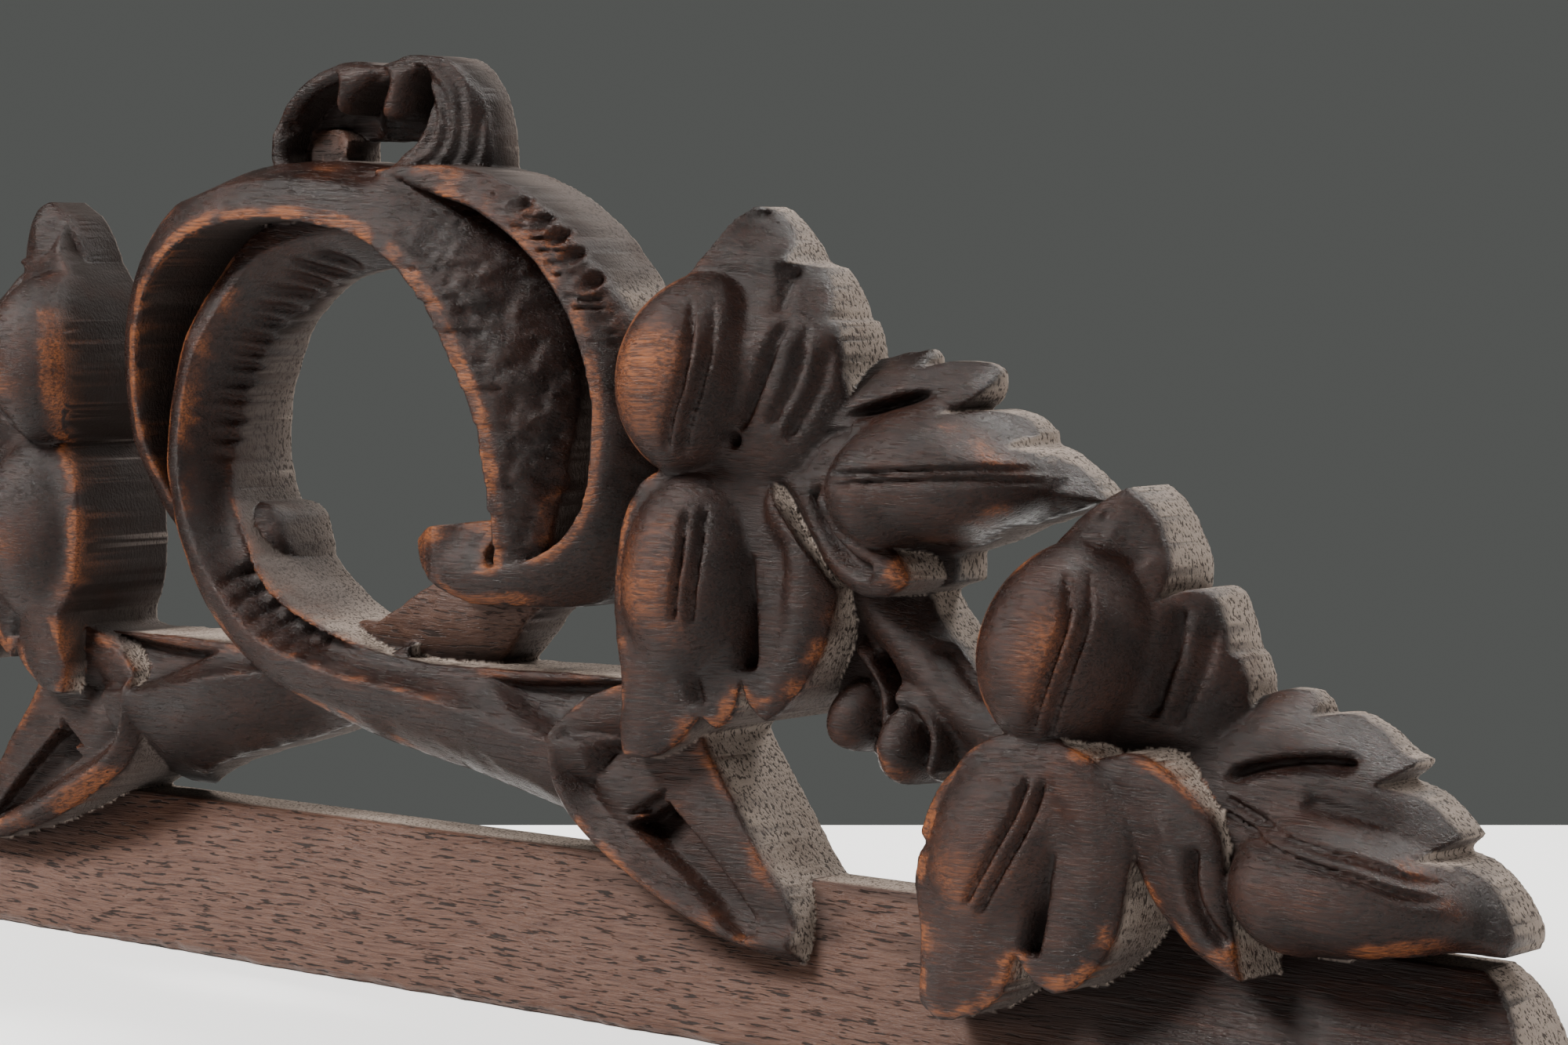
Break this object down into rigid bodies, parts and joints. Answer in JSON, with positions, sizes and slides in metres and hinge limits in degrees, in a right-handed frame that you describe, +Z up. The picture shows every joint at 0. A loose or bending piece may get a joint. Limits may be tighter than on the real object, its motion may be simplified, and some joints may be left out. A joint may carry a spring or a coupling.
{
  "type": "carved pediment",
  "caption": "Low pierced oak pediment with a plain moulded rail, crossing stems that curl into a ring, paired leaf clusters and two small curls on top.",
  "frame": {"origin": "middle of the rail's flat underside", "axes": "+X along the length, +Y into the board towards its flat back, +Z up; the carving faces -Y"},
  "size_m": [0.48, 0.0317, 0.1616],
  "materials": {
    "oak": "dark brown-black wax polish, worn orange-brown on ridges and bulges, raw matt sawn sides"
  },
  "bodies": {
    "root": {"pediment": "oak"}
  },
  "joints": []
}
